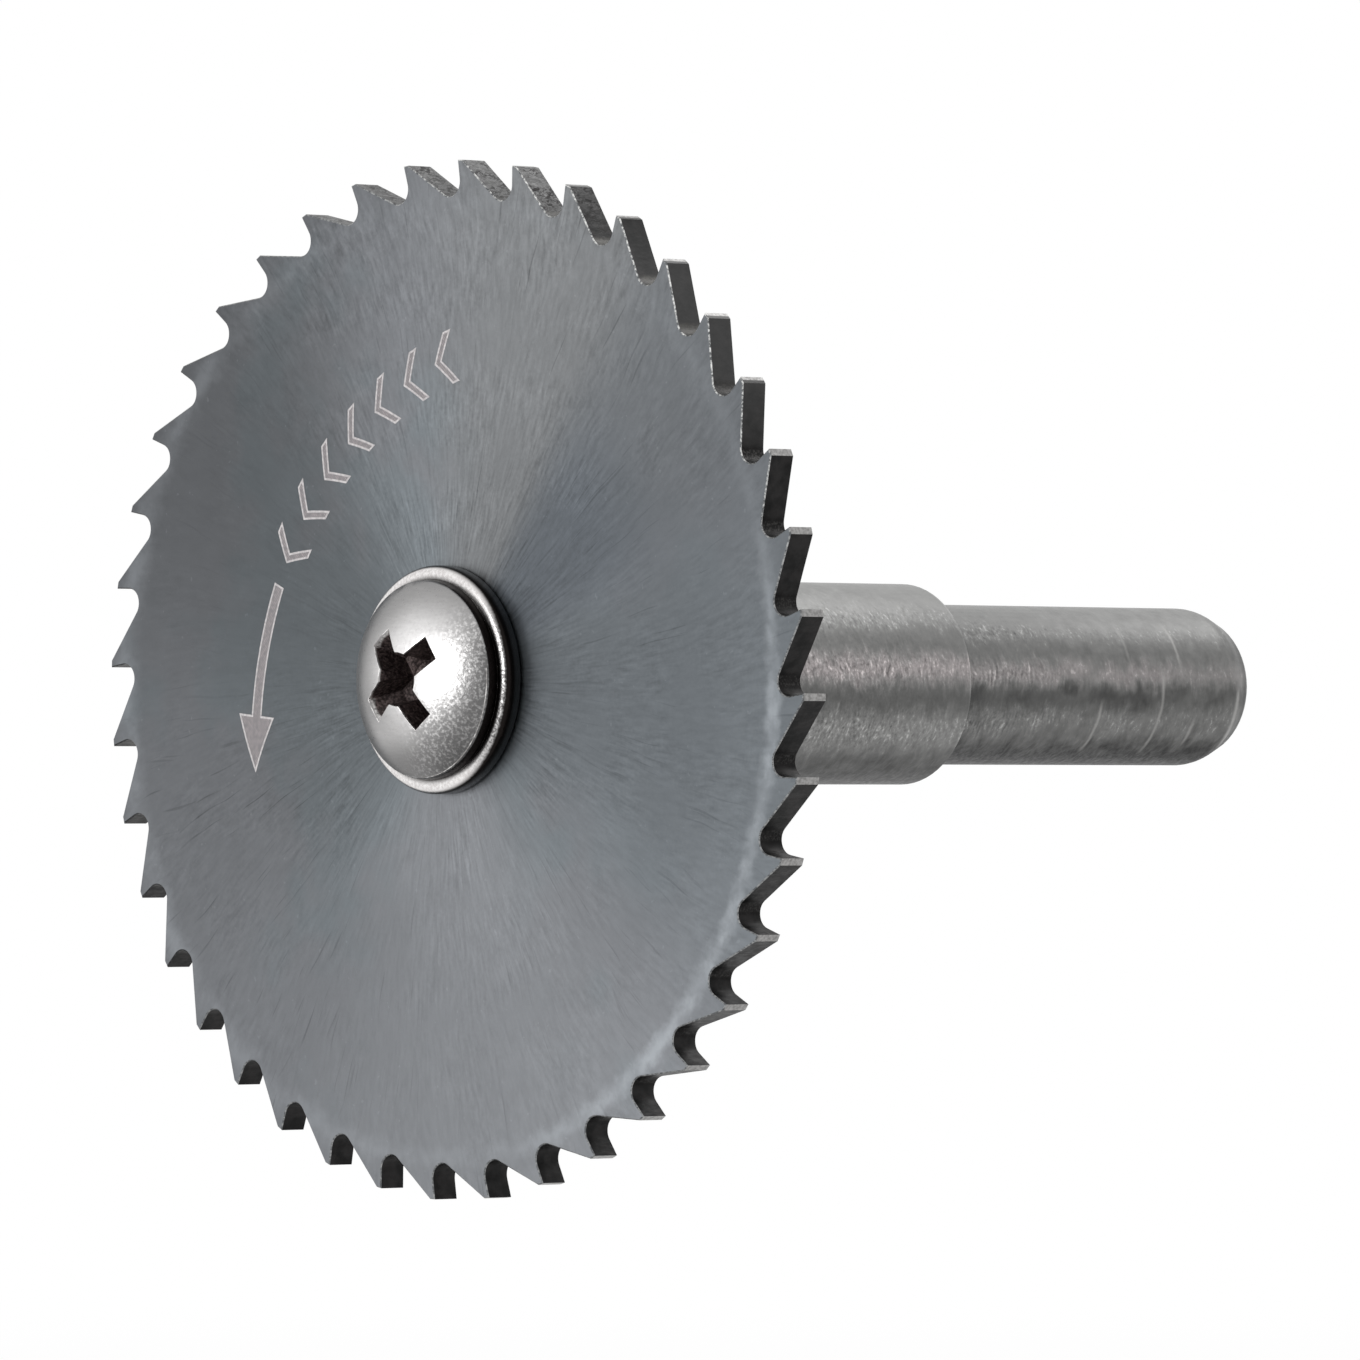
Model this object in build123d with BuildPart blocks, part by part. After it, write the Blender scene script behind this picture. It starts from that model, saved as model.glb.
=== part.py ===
from build123d import *

import os
from math import acos, asin, atan2, cos, degrees, hypot, radians, sin, sqrt, tan

# Slotting cutter: a thin toothed saw blade clamped on the end of a straight arbor.
#
# A 50 mm slitting saw sits on the arbor's spigot and is clamped against the arbor's shoulder by one
# screw and a thick washer. The arbor is a single turned piece: a collar behind the blade, and a thinner
# shank that a chuck or collet grips.
#
# Frame, in millimetres: the origin is the centre of the shank's free end face. The spin axis is the Y
# axis, and +Y points out of that end, so the blade and the screw lie at negative Y. +Z is up and +X is to
# the right for someone who looks at the screw head.

# Saw blade
blade_diameter = 50.0
blade_thickness = 1.5
blade_bore = 8.0
tooth_count = 40
tooth_depth = 1.75
tooth_rake = 10.0          # degrees that the cutting face leans forward of the radius
tooth_land = 0.35          # ground flat behind each cutting edge
gullet_radius = 0.72
first_tooth_angle = -1.88  # degrees from +X to a cutting edge, as the blade happens to be clamped

# Arbor
shank_diameter = 8.0
shank_length = 21.3
shank_lead_length = 1.8    # the long shallow chamfer at the free end
shank_lead_depth = 0.8
shank_tip_chamfer = 0.35
collar_diameter = 10.0
collar_length = 29.2
collar_edge_break = 0.3    # takes at most half of the step down to the shank
shoulder_edge_break = 0.15
spigot_clearance = 0.02    # between the spigot and the blade's bore, on the radius
spigot_setback = 0.2       # the spigot stops this far short of the blade's front face
spigot_edge_break = 0.15

# Clamp screw, with its thread left plain
thread_diameter = 5.0
thread_clearance = 0.05    # on the radius, where the real thread interlocks
thread_engagement = 9.0    # how far the screw reaches into the arbor
thread_run_out = 2.5       # how far the tapped hole goes on past the screw's end
thread_tip_chamfer = 0.6
thread_mouth_chamfer = 0.3
thread_mouth_angle = 90.0
drill_point_angle = 118.0
head_diameter = 9.7
head_height = 2.3
head_side_height = 0.55
head_side_taper = 0.1      # the side leans in by this much from its foot to its rim
head_rim_chamfer = 0.05
recess_angle = 36.0        # degrees from +X to one wing of the cross, as the screw happens to be turned
recess_reach = 2.56        # from the axis to a wing's end, at the dome
recess_wing = 1.32
recess_core = 1.3          # radius of the cross's conical middle, at the dome
recess_depth = 2.1         # below the dome
recess_wing_slope = 26.5   # degrees that a wing's end leans towards the axis
recess_core_slope = 12.0
recess_point_angle = 130.0

# Washer
washer_diameter = 11.0
washer_thickness = 1.0
washer_bore_clearance = 0.15  # around the screw's shaft, on the radius
washer_edge_roll = 0.4
washer_back_break = 0.12

# How far a cutting shape runs on past the surface that it cuts
overrun = 1.0

# Places along the spin axis, from the shank's free end towards the screw
shank_start = -shank_length
seat_y = shank_start - collar_length
blade_front_y = seat_y - blade_thickness
spigot_end_y = blade_front_y + spigot_setback
washer_front_y = blade_front_y - washer_thickness
head_top_y = washer_front_y - head_height
screw_end_y = spigot_end_y + thread_engagement
tapped_end_y = screw_end_y + thread_run_out

shank_radius = shank_diameter / 2
collar_radius = collar_diameter / 2
spigot_radius = blade_bore / 2 - spigot_clearance
thread_radius = thread_diameter / 2
tapped_radius = thread_radius + thread_clearance
washer_bore_radius = thread_radius + washer_bore_clearance
head_radius = head_diameter / 2

os.makedirs("parts", exist_ok=True)


# The gap between two teeth: down the cutting face, round the root and up the next tooth's back

blade_radius = blade_diameter / 2
tooth_pitch = 360 / tooth_count
rake = radians(tooth_rake)

# The root is an arc that touches the cutting face. Its centre is placed for the cutting edge on +X.
root_distance = blade_radius - tooth_depth + gullet_radius
root_turn = rake + asin((gullet_radius - blade_radius * sin(rake)) / root_distance)
root_x = root_distance * cos(root_turn)
root_y = root_distance * sin(root_turn)

# The next tooth's back is the line from its land's rear corner that touches the same arc
land_turn = radians(tooth_pitch) - tooth_land / blade_radius
heel_x = blade_radius * cos(land_turn)
heel_y = blade_radius * sin(land_turn)
heel_turn = degrees(atan2(heel_y - root_y, heel_x - root_x))
heel_distance = hypot(heel_x - root_x, heel_y - root_y)
back_turn = heel_turn + degrees(acos(gullet_radius / heel_distance)) - 90

with BuildSketch() as gullet:
    with BuildLine():
        root = CenterArc((root_x, root_y), gullet_radius, tooth_rake - 90, back_turn - tooth_rake - 180)
        face_line = Line(root @ 0, (blade_radius + overrun * cos(rake), overrun * sin(rake)))
        back_line = PolarLine(root @ 1, heel_distance + overrun, back_turn)
        Line(face_line @ 1, back_line @ 1)
    make_face()

with BuildPart() as saw_blade:
    with BuildSketch(Plane.XZ.offset(-blade_front_y)):
        Circle(blade_radius)
        Circle(blade_bore / 2, mode=Mode.SUBTRACT)
        with PolarLocations(0, tooth_count, start_angle=first_tooth_angle):
            add(gullet.sketch, mode=Mode.SUBTRACT)
    extrude(amount=-blade_thickness)
saw_blade.part.label = "saw_blade"


# The arbor: shank, collar, shoulder and spigot turned from one bar, then drilled and tapped in its nose

nose_plane = Plane.XZ.offset(-spigot_end_y)

with BuildPart() as arbor:
    with BuildSketch(Plane.XY):
        with BuildLine():
            Polyline(
                (0, 0),
                (shank_radius - shank_lead_depth, 0),
                (shank_radius, -shank_lead_length),
                (shank_radius, shank_start),
                (collar_radius, shank_start),
                (collar_radius, seat_y),
                (spigot_radius, seat_y),
                (spigot_radius, spigot_end_y),
                (0, spigot_end_y),
                close=True,
            )
        make_face()
    revolve(axis=Axis.Y)
    rings = arbor.edges().filter_by(GeomType.CIRCLE)
    free_end_ring = rings.group_by(Axis.Y)[-1]
    collar_rear_ring = rings.filter_by_position(Axis.Y, shank_start, shank_start).sort_by(SortBy.RADIUS)[-1]
    shoulder_ring = rings.filter_by_position(Axis.Y, seat_y, seat_y).sort_by(SortBy.RADIUS)[-1]
    spigot_ring = rings.group_by(Axis.Y)[0]
    chamfer(free_end_ring, length=shank_tip_chamfer)
    chamfer(collar_rear_ring, length=min(collar_edge_break, (collar_radius - shank_radius) / 2))
    chamfer(shoulder_ring, length=shoulder_edge_break)
    chamfer(spigot_ring, length=spigot_edge_break)
    with Locations(nose_plane):
        CounterSinkHole(
            radius=tapped_radius,
            counter_sink_radius=tapped_radius + thread_mouth_chamfer,
            depth=tapped_end_y - spigot_end_y,
            counter_sink_angle=thread_mouth_angle,
        )
    with BuildSketch(Plane.XY):
        with BuildLine():
            Polyline(
                (0, tapped_end_y),
                (tapped_radius, tapped_end_y),
                (0, tapped_end_y + tapped_radius / tan(radians(drill_point_angle / 2))),
                close=True,
            )
        make_face()
    revolve(axis=Axis.Y, mode=Mode.SUBTRACT)
arbor.part.label = "arbor"


# The washer, with the rolled edge towards the screw head

with BuildPart() as washer:
    with BuildSketch(Plane.XZ.offset(-blade_front_y)):
        Circle(washer_diameter / 2)
        Circle(washer_bore_radius, mode=Mode.SUBTRACT)
    extrude(amount=washer_thickness)
    outer_rings = washer.edges().filter_by(GeomType.CIRCLE).group_by(SortBy.RADIUS)[-1].sort_by(Axis.Y)
    fillet(outer_rings[0], radius=washer_edge_roll)
    chamfer(outer_rings[-1], length=washer_back_break)
washer.part.label = "washer"


# The clamp screw: a low dome on a slightly tapered side, over a plain shaft with a chamfered tip

rim_radius = head_radius - head_side_taper
rim_y = washer_front_y - head_side_height
dome_height = head_height - head_side_height
dome_radius = (rim_radius ** 2 + dome_height ** 2) / (2 * dome_height)

# The recess is widest at the dome, and its depth is measured from the dome's top
recess_end_y = head_top_y + recess_depth
recess_start_y = head_top_y - overrun
wing_mouth_y = head_top_y + dome_radius - sqrt(dome_radius ** 2 - recess_reach ** 2)
core_mouth_y = head_top_y + dome_radius - sqrt(dome_radius ** 2 - recess_core ** 2)


def narrowed(at_mouth, mouth_y, y, slope):
    """Half width of a recess at y, which leans in by slope degrees from its mouth on the dome."""
    return at_mouth - (y - mouth_y) * tan(radians(slope))


wing_start = narrowed(recess_reach, wing_mouth_y, recess_start_y, recess_wing_slope)
wing_end = narrowed(recess_reach, wing_mouth_y, recess_end_y, recess_wing_slope)
core_start = narrowed(recess_core, core_mouth_y, recess_start_y, recess_core_slope)
core_end = narrowed(recess_core, core_mouth_y, recess_end_y, recess_core_slope)

with BuildPart() as clamp_screw:
    with BuildSketch(Plane.XY):
        with BuildLine():
            dome = RadiusArc((0, head_top_y), (rim_radius, rim_y), -dome_radius)
            Polyline(
                dome @ 1,
                (head_radius, washer_front_y),
                (thread_radius, washer_front_y),
                (thread_radius, screw_end_y - thread_tip_chamfer),
                (thread_radius - thread_tip_chamfer, screw_end_y),
                (0, screw_end_y),
                dome @ 0,
            )
        make_face()
    revolve(axis=Axis.Y)
    rim_ring = clamp_screw.edges().filter_by(GeomType.CIRCLE).filter_by_position(Axis.Y, rim_y, rim_y)
    chamfer(rim_ring, length=head_rim_chamfer)
    for wing_angle in (recess_angle, recess_angle + 90):
        with BuildSketch(Plane.XY.rotated((0, -wing_angle, 0))):
            with BuildLine():
                Polyline(
                    (-wing_start, recess_start_y),
                    (wing_start, recess_start_y),
                    (wing_end, recess_end_y),
                    (-wing_end, recess_end_y),
                    close=True,
                )
            make_face()
        extrude(amount=recess_wing / 2, both=True, mode=Mode.SUBTRACT)
    with BuildSketch(Plane.XY):
        with BuildLine():
            Polyline(
                (0, recess_start_y),
                (core_start, recess_start_y),
                (core_end, recess_end_y),
                (0, recess_end_y + core_end / tan(radians(recess_point_angle / 2))),
                close=True,
            )
        make_face()
    revolve(axis=Axis.Y, mode=Mode.SUBTRACT)
clamp_screw.part.label = "clamp_screw"


export_step(saw_blade.part, "parts/saw_blade.step")
export_step(arbor.part, "parts/arbor.step")
export_step(washer.part, "parts/washer.step")
export_step(clamp_screw.part, "parts/clamp_screw.step")
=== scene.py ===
"""Looks of the slotting cutter: a slitting saw clamped on the end of a straight arbor.

Lengths are written in millimetres, and MM turns them into metres where geometry is built. The spin axis is
the Y axis. The blade faces -Y, so an angle on the blade is counted from +X towards +Z, as seen from the
screw's side.
"""

from math import cos, hypot, pi, radians, sin, sqrt

import bmesh
import bpy
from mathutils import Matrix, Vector


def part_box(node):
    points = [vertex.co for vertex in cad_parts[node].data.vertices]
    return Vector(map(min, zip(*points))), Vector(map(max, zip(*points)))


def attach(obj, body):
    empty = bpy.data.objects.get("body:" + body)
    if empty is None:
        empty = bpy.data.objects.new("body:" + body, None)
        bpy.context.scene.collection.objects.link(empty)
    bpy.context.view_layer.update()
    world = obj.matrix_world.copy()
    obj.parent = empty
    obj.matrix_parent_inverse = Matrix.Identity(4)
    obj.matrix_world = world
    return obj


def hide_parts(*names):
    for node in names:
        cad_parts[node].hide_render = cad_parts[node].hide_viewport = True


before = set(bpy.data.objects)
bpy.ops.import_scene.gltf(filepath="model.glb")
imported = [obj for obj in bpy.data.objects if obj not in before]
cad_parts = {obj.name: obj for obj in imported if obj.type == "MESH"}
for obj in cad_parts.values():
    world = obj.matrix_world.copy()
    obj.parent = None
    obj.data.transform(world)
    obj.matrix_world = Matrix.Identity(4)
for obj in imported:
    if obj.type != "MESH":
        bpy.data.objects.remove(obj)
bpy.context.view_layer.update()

MM = 0.001
BODY = "root"

# Camera: it looks at a point in the plane of the blade's front face, from a direction and a distance
camera_azimuth = 47.164
camera_elevation = -0.609
camera_distance = 541.16
camera_aim_x = 16.566
camera_aim_z = -0.134
camera_lens = 304.69
camera_sensor = 36.0
camera_sees_from = 10.0
camera_sees_to = 50000.0

# Stage
floor_height = -70.0
floor_radius = 4000.0
floor_tone = 0.8
floor_glow = 0.30          # added near the object where the floor is seen directly or in gloss
floor_white_from = 250.0
floor_white_to = 900.0
world_light = 0.55         # the world is 1 where it is seen, and this strong as a light

# Lights
sun_azimuth = 175.0
sun_elevation = 58.0
sun_angle = 40.0
sun_strength = 0.8

# Places from the frame. The boxes and the blade's two faces are in metres, because geometry is built on
# them. The washer's and the collar's places are in millimetres, for materials.
blade_low, blade_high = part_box("saw_blade")
arbor_low, arbor_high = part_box("arbor")
washer_low, washer_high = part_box("washer")
blade_front = blade_low.y
blade_back = blade_high.y
washer_front = washer_low.y / MM
washer_radius = washer_high.x / MM
collar_radius = arbor_high.x / MM

# Places and sizes of the solids that their boxes don't give
collar_end = -21.3         # where the shank starts
lead_corner = -1.8         # where the shank's lead starts
tip_chamfer_end = -0.32    # where the small chamfer at its tip starts
first_tooth = -1.88        # degrees from +X to a cutting edge
tooth_pitch = 9.0          # degrees
gullet_foot = 23.25        # the radius at which the gullets are deepest
land_margin = 0.06         # a land lies less than this inside the blade's box
head_side_height = 0.55
rim_radius = 4.75
dome_height = 1.75
dome_radius = (rim_radius ** 2 + dome_height ** 2) / (2 * dome_height)
recess_reach = 2.56

# Edges
tooth_edge_break = 0.055
arbor_edge_round = 0.06
lead_corner_round = 0.45
tip_edge_round = 0.28
screw_edge_round = 0.045

# Etched marks: they stand on a circle of their own, which isn't centred on the blade
mark_centre = Vector((5.8, -3.5))
mark_radius = 19.8
mark_start = 105.0
mark_half_height = 1.3
mark_outline = 0.10
chevron_count = 7
chevron_pitch = 2.45
chevron_arm = 1.0
chevron_stroke = 0.55
arrow_gap = 0.3
arrow_shaft_length = 6.6
arrow_head_length = 2.8
arrow_half_shaft = 0.36
outline_height = 0.006
hatch_height = 0.004
mark_depth = 0.002
hatch_pitch = 0.11

# Bright turning marks on the shank, the first one a painted highlight where the lead starts: place along
# the axis, half width, the two heights on the round between which a mark runs (-1 at the bottom, 1 at
# the top), and strength
turning_marks_and_glint = (
    (-1.5, 0.30, -0.78, -0.05, 0.62),
    (-4.5, 0.17, -0.74, -0.44, 0.46),
    (-5.75, 0.17, 0.25, 0.72, 0.44),
    (-7.05, 0.17, -0.80, 0.15, 0.46),
    (-9.3, 0.17, 0.30, 0.70, 0.22),
    (-11.35, 0.17, -0.80, -0.25, 0.50),
)
turning_line_pitch = 0.30


class Shader:
    """Adds the nodes of one material and joins them."""

    def __init__(self, name):
        self.material = bpy.data.materials.new(name)
        self.material.use_nodes = True
        self.tree = self.material.node_tree
        self.tree.nodes.clear()
        self.output = self.tree.nodes.new("ShaderNodeOutputMaterial")
        coordinates = self.tree.nodes.new("ShaderNodeTexCoord")
        in_millimetres = self.tree.nodes.new("ShaderNodeVectorMath")
        in_millimetres.operation = "SCALE"
        in_millimetres.inputs["Scale"].default_value = 1 / MM
        self.join(coordinates.outputs["Object"], in_millimetres.inputs[0])
        self.position = in_millimetres.outputs["Vector"]
        split = self.tree.nodes.new("ShaderNodeSeparateXYZ")
        self.join(self.position, split.inputs[0])
        self.x, self.y, self.z = split.outputs
        self.radius = self.hypotenuse(self.x, self.z)
        self.angle = self.math("ARCTAN2", self.z, self.x)

    def join(self, source, socket):
        """Link an output to an input, or set the input to a plain value."""
        if isinstance(source, bpy.types.NodeSocket):
            self.tree.links.new(source, socket)
        else:
            socket.default_value = source

    def math(self, operation, a, b=0.0, c=0.0):
        node = self.tree.nodes.new("ShaderNodeMath")
        node.operation = operation
        for value, socket in zip((a, b, c), node.inputs):
            self.join(value, socket)
        return node.outputs[0]

    def times(self, first, *others):
        """The product of the values."""
        for other in others:
            first = self.math("MULTIPLY", first, other)
        return first

    def larger(self, first, *others):
        """The largest of the values."""
        for other in others:
            first = self.math("MAXIMUM", first, other)
        return first

    def total(self, start, *terms):
        """A start value plus each value times its amount."""
        for value, amount in terms:
            start = self.math("MULTIPLY_ADD", value, amount, start)
        return start

    def hypotenuse(self, a, b):
        """The length of the long side over two sides at a right angle."""
        return self.math("SQRT", self.math("ADD", self.times(a, a), self.times(b, b)))

    def vector(self, x, y, z):
        node = self.tree.nodes.new("ShaderNodeCombineXYZ")
        for value, socket in zip((x, y, z), node.inputs):
            self.join(value, socket)
        return node.outputs[0]

    def stretched(self, x, y, z):
        """The position with a factor on each axis."""
        return self.vector(self.times(self.x, x), self.times(self.y, y), self.times(self.z, z))

    def noise(self, vector, scale=1.0, detail=2.0, roughness=0.5):
        node = self.tree.nodes.new("ShaderNodeTexNoise")
        self.join(vector, node.inputs["Vector"])
        node.inputs["Scale"].default_value = scale
        node.inputs["Detail"].default_value = detail
        node.inputs["Roughness"].default_value = roughness
        return node.outputs["Fac"]

    def centred(self, value):
        """A noise value moved so that its middle is 0."""
        return self.math("SUBTRACT", value, 0.5)

    def between(self, value, low, high, start=0.0, end=1.0):
        """Go smoothly from start to end while value goes from low to high."""
        node = self.tree.nodes.new("ShaderNodeMapRange")
        node.interpolation_type = "SMOOTHSTEP"
        for source, socket in zip((value, low, high, start, end), node.inputs):
            self.join(source, socket)
        return node.outputs[0]

    def fading(self, value, low, high):
        """Fall smoothly from 1 to 0 while value goes from low to high."""
        return self.between(value, low, high, 1.0, 0.0)

    def band(self, value, centre, half_width):
        """1 where value is at the centre, and 0 from half_width away on either side."""
        off = self.math("ABSOLUTE", self.math("SUBTRACT", value, centre))
        return self.fading(off, 0.0, half_width)

    def lobe(self, centre, width):
        """1 at an angle round the axis, in degrees, and 0 from width degrees away on either side."""
        off = self.math("COSINE", self.math("SUBTRACT", self.angle, radians(centre)))
        return self.between(off, cos(radians(width)), 1.0)

    def mix(self, factor, a, b, blend="MIX"):
        node = self.tree.nodes.new("ShaderNodeMix")
        node.data_type = "RGBA"
        node.blend_type = blend
        self.join(factor, node.inputs[0])
        self.join(a, node.inputs[6])
        self.join(b, node.inputs[7])
        return node.outputs[2]

    def scaled(self, colour, factor):
        """Make a colour lighter or darker by a factor."""
        node = self.tree.nodes.new("ShaderNodeCombineColor")
        for socket in node.inputs:
            self.join(factor, socket)
        return self.mix(1.0, colour, node.outputs[0], blend="MULTIPLY")

    def bump(self, height, distance):
        node = self.tree.nodes.new("ShaderNodeBump")
        node.inputs["Strength"].default_value = 1.0
        node.inputs["Distance"].default_value = distance * MM
        self.join(height, node.inputs["Height"])
        return node.outputs[0]

    def metal(self, colour, roughness, normal=None, metallic=1.0, anisotropy=0.0):
        """Finish the material as one metal surface."""
        node = self.tree.nodes.new("ShaderNodeBsdfPrincipled")
        self.join(colour, node.inputs["Base Color"])
        self.join(roughness, node.inputs["Roughness"])
        self.join(metallic, node.inputs["Metallic"])
        if normal is not None:
            self.join(normal, node.inputs["Normal"])
        if anisotropy:
            tangent = self.tree.nodes.new("ShaderNodeTangent")
            tangent.direction_type = "RADIAL"
            tangent.axis = "Y"
            node.inputs["Anisotropic"].default_value = anisotropy
            self.join(tangent.outputs[0], node.inputs["Tangent"])
        self.join(node.outputs[0], self.output.inputs["Surface"])
        return self.material


def colour(red, green, blue):
    """A colour given as it looks on a screen, from 0 to 255, as the shader's linear values."""
    channels = [c / 255 for c in (red, green, blue)]
    linear = [c / 12.92 if c <= 0.04045 else ((c + 0.055) / 1.055) ** 2.4 for c in channels]
    return (*linear, 1.0)


class GroundSteel(Shader):
    """The blade's ground faces. Their marks run outwards and waver a little."""

    def __init__(self):
        super().__init__("blade_face")
        waver = self.centred(self.noise(self.position, scale=0.30, detail=1.0))
        self.wavy_angle = self.total(self.angle, (waver, 0.030))
        self.cloud = self.noise(self.position, scale=0.45, detail=4.0, roughness=0.6)

    def grinding(self, fineness, along, detail=2.0, turn_per_square_mm=-0.0002):
        """Noise drawn out along marks whose angle turns with the square of the radius."""
        radius_squared = self.times(self.radius, self.radius)
        turned = self.total(self.wavy_angle, (radius_squared, turn_per_square_mm))
        place = self.vector(self.times(self.math("COSINE", turned), fineness),
                            self.times(self.math("SINE", turned), fineness),
                            self.times(self.radius, along))
        return self.noise(place, detail=detail)

    def fine_grinding(self):
        """Short marks, finer in angle further out, so that they keep their width."""
        near = self.grinding(54.0, 0.85, detail=3.0)
        middle = self.grinding(68.0, 1.00, detail=3.0)
        far = self.grinding(84.0, 1.15, detail=3.0)
        inside = self.mix(self.between(self.radius, 9.0, 13.0), near, middle)
        return self.mix(self.between(self.radius, 15.0, 19.0), inside, far)

    def marks(self, fine):
        """The fine marks as light and dark: plain to see at the top, and nearly polished out at the left."""
        beside_washer = self.times(self.fading(self.radius, 8.5, 15.0),
                                   self.total(0.38, (self.lobe(200, 50), 0.16), (self.lobe(272, 24), 0.30)))
        lower_left = self.times(self.lobe(212, 36), self.between(self.radius, 8.0, 22.0, 0.85, 0.50))
        outer_bottom = self.times(self.lobe(300, 70), self.between(self.radius, 15.0, 18.0))
        plain = self.total(0.28, (self.lobe(82, 62), 1.30), (self.lobe(318, 95), 0.70), (beside_washer, 1.0),
                           (lower_left, 1.0), (outer_bottom, -0.16))
        uneven = self.between(self.noise(self.position, scale=0.35), 0.35, 0.65, 0.6, 1.4)
        grain = self.noise(self.position, scale=5.0, detail=3.0)
        contrast = self.total(0.0, (self.centred(fine), 0.46), (self.centred(grain), 0.20))
        return self.times(contrast, plain, uneven)

    def scratches(self):
        """Single scratches in two sets that cross at a small angle, each in patches of its own."""
        first = self.times(self.between(self.grinding(120.0, 0.22, 1.0, -0.0001), 0.64, 0.73),
                           self.between(self.noise(self.position, scale=0.25), 0.42, 0.58))
        second = self.times(self.between(self.grinding(96.0, 0.22, 1.0, 0.0001), 0.67, 0.76),
                            self.between(self.noise(self.position, scale=0.32), 0.46, 0.60))
        return self.larger(first, self.times(second, 0.7))

    def long_scratches(self):
        """A few long scratches at the upper right."""
        return self.times(self.between(self.grinding(92.0, 0.11, 1.0, 0.00006), 0.66, 0.72),
                          self.between(self.noise(self.position, scale=0.28), 0.42, 0.55),
                          self.lobe(66, 42))

    def hairlines(self):
        """Straight hairlines that start at the washer."""
        return self.times(self.between(self.grinding(58.0, 0.16, 2.0, 0.0), 0.58, 0.72),
                          self.fading(self.radius, 7.5, 13.5))

    def fan(self):
        """Painted reflection: broad tones for the steel's sheen, lighter at the top and bottom of the blade
        than at its sides.

        The notch is a dark sector near 40 degrees. The step is a sector that darkens from 101 to 136
        degrees and brightens again until 182.
        """
        double = self.math("COSINE", self.times(self.math("SUBTRACT", self.angle, radians(84)), 2.0))
        single = self.math("COSINE", self.math("ADD", self.angle, radians(52)))
        notch = self.times(self.lobe(40, 22), self.between(self.radius, 9.0, 20.0, 1.35, 0.72))
        leaning = self.total(self.angle, (self.math("SUBTRACT", self.radius, 15.0), radians(1.7)))
        step = self.times(self.between(leaning, radians(101), radians(136)),
                          self.fading(self.angle, radians(128), radians(182)),
                          self.between(self.radius, 8.0, 20.0, 0.45, 1.05))
        outer = self.between(self.radius, 9.0, 17.0)
        rim = self.between(self.radius, 17.5, 22.5)
        last = self.between(self.radius, gullet_foot - 1.05, gullet_foot - 0.15)
        return self.total(
            1.035,
            (double, 0.215),
            (single, 0.11),
            (notch, -0.19),
            (step, -0.25),
            (self.lobe(238, 52), -0.14),
            (self.lobe(310, 34), 0.05),
            (rim, 0.02),
            (self.times(rim, self.lobe(330, 52)), 0.10),
            (self.times(outer, self.lobe(205, 36)), 0.10),
            (self.times(outer, self.lobe(286, 18)), -0.06),
            (self.times(last, self.lobe(82, 36)), -0.07),
            (self.times(self.fading(self.radius, 10.0, 15.0), self.lobe(66, 28)), -0.07),
            (self.times(self.fading(self.radius, 8.5, 11.5), self.lobe(315, 30)), -0.08),
            (self.times(self.fading(self.radius, 9.0, 14.0), self.lobe(248, 20)), 0.10),
            (self.centred(self.grinding(16.0, 0.14)), 0.07),
        )

    def hue(self):
        """The steel's colour before its tone, a little different from patch to patch."""
        patches = self.total(self.noise(self.position, scale=0.22, detail=2.0),
                             (self.math("SUBTRACT", self.radius, 14.5), 0.018))
        steel = self.mix(self.between(patches, 0.38, 0.62), colour(109.6, 115.2, 119.0),
                         colour(112.4, 114.7, 118.2))
        steel = self.mix(self.lobe(275, 42), steel, colour(112.8, 115.0, 118.2))
        steel = self.mix(self.lobe(-8, 40), steel, colour(110.2, 115.2, 119.4))
        steel = self.mix(self.lobe(58, 44), steel, colour(113.6, 115.6, 117.4))
        bluer = self.times(self.lobe(36, 24), self.between(self.radius, 12.0, 19.0, 1.0, 0.4))
        return self.mix(bluer, steel, colour(109.6, 115.0, 121.0))

    def with_ring(self, steel):
        """Add the ring that grinding the gullets left: soft, uneven, and strongest at the lower right."""
        left = self.lobe(195, 75)
        wander = self.centred(self.noise(self.position, scale=1.4, detail=4.0))
        off = self.math("SUBTRACT", self.total(self.radius, (wander, 1.1)),
                        self.total(gullet_foot - 0.25, (left, 0.9)))
        ring = self.times(self.band(off, 0.0, self.total(0.78, (left, 0.60))),
                          self.between(self.cloud, 0.36, 0.62, 0.45, 1.1))
        strength = self.total(0.07, (self.lobe(330, 55), 0.58), (self.lobe(190, 70), 0.19),
                              (self.lobe(258, 26), 0.09))
        return self.mix(self.times(ring, strength), steel, colour(170, 175, 180))


def blade_face_steel():
    """Ground faces of the blade: short grinding marks, a soft fan of painted sheen and a paler ring at the
    teeth.
    """
    s = GroundSteel()
    fine = s.fine_grinding()
    scratches = s.scratches()
    scratch_depth = s.total(0.17, (s.lobe(214, 44), 0.12), (s.lobe(156, 50), -0.13))
    specks = s.between(s.noise(s.position, scale=3.2, detail=1.0), 0.74, 0.80)
    tone = s.total(s.fan(), (s.marks(fine), 1.0), (s.centred(s.cloud), 0.13),
                   (s.times(scratches, scratch_depth), -1.0), (s.long_scratches(), -0.26),
                   (s.hairlines(), -0.12), (specks, 0.16))
    washer_shade = s.times(s.fading(s.radius, washer_radius + 0.3, washer_radius + 2.2), s.lobe(-14, 66))
    tone = s.times(tone, s.total(1.0, (washer_shade, -0.12)))
    steel = s.with_ring(s.scaled(s.hue(), tone))
    roughness = s.total(0.32, (fine, 0.16))
    relief = s.total(fine, (scratches, -0.5))
    return s.metal(steel, roughness, s.bump(relief, 0.004), anisotropy=0.3)


def painted_lit_backs(s):
    """1 at the top of the blade, where the tooth backs are rough and painted grey for the light from above.
    """
    return s.times(s.between(s.angle, radians(60), radians(79)),
                   s.fading(s.angle, radians(125), radians(160)))


def right_backs(s):
    """Nearly half at the upper right, where the tooth backs are smooth and dark grey."""
    return s.times(s.lobe(44, 20), 0.48)


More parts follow.
